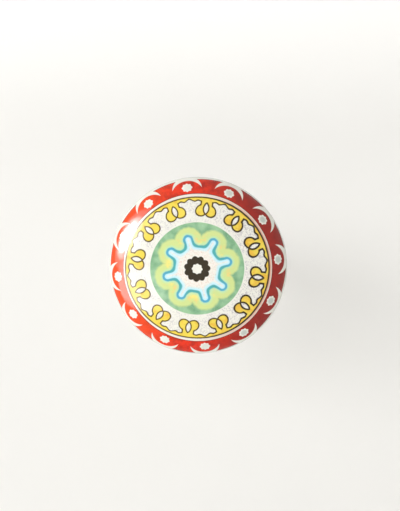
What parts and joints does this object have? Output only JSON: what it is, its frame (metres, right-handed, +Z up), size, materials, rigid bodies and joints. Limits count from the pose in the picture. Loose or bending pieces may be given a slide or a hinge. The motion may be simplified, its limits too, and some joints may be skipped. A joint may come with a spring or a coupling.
{
  "type": "cabinet knob",
  "caption": "Round domed ceramic cabinet knob with a waisted neck and flared foot, on a cemented-in bolt with washer and nut.",
  "frame": {"origin": "centre of the foot's face, where the knob meets the door", "axes": "+Y along the knob's axis into the door, so the decorated face looks to -Y; +Z up"},
  "size_m": [0.04, 0.061, 0.04],
  "materials": {
    "glazed_body": "gloss",
    "cement": "matte",
    "bolt_steel": "satin",
    "washer_steel": "satin",
    "nut_steel": "satin"
  },
  "bodies": {
    "root": {"ceramic_knob": "glazed_body", "setting_cement": "cement", "stud_bolt": "bolt_steel", "flat_washer": "washer_steel", "hex_nut": "nut_steel"}
  },
  "joints": []
}
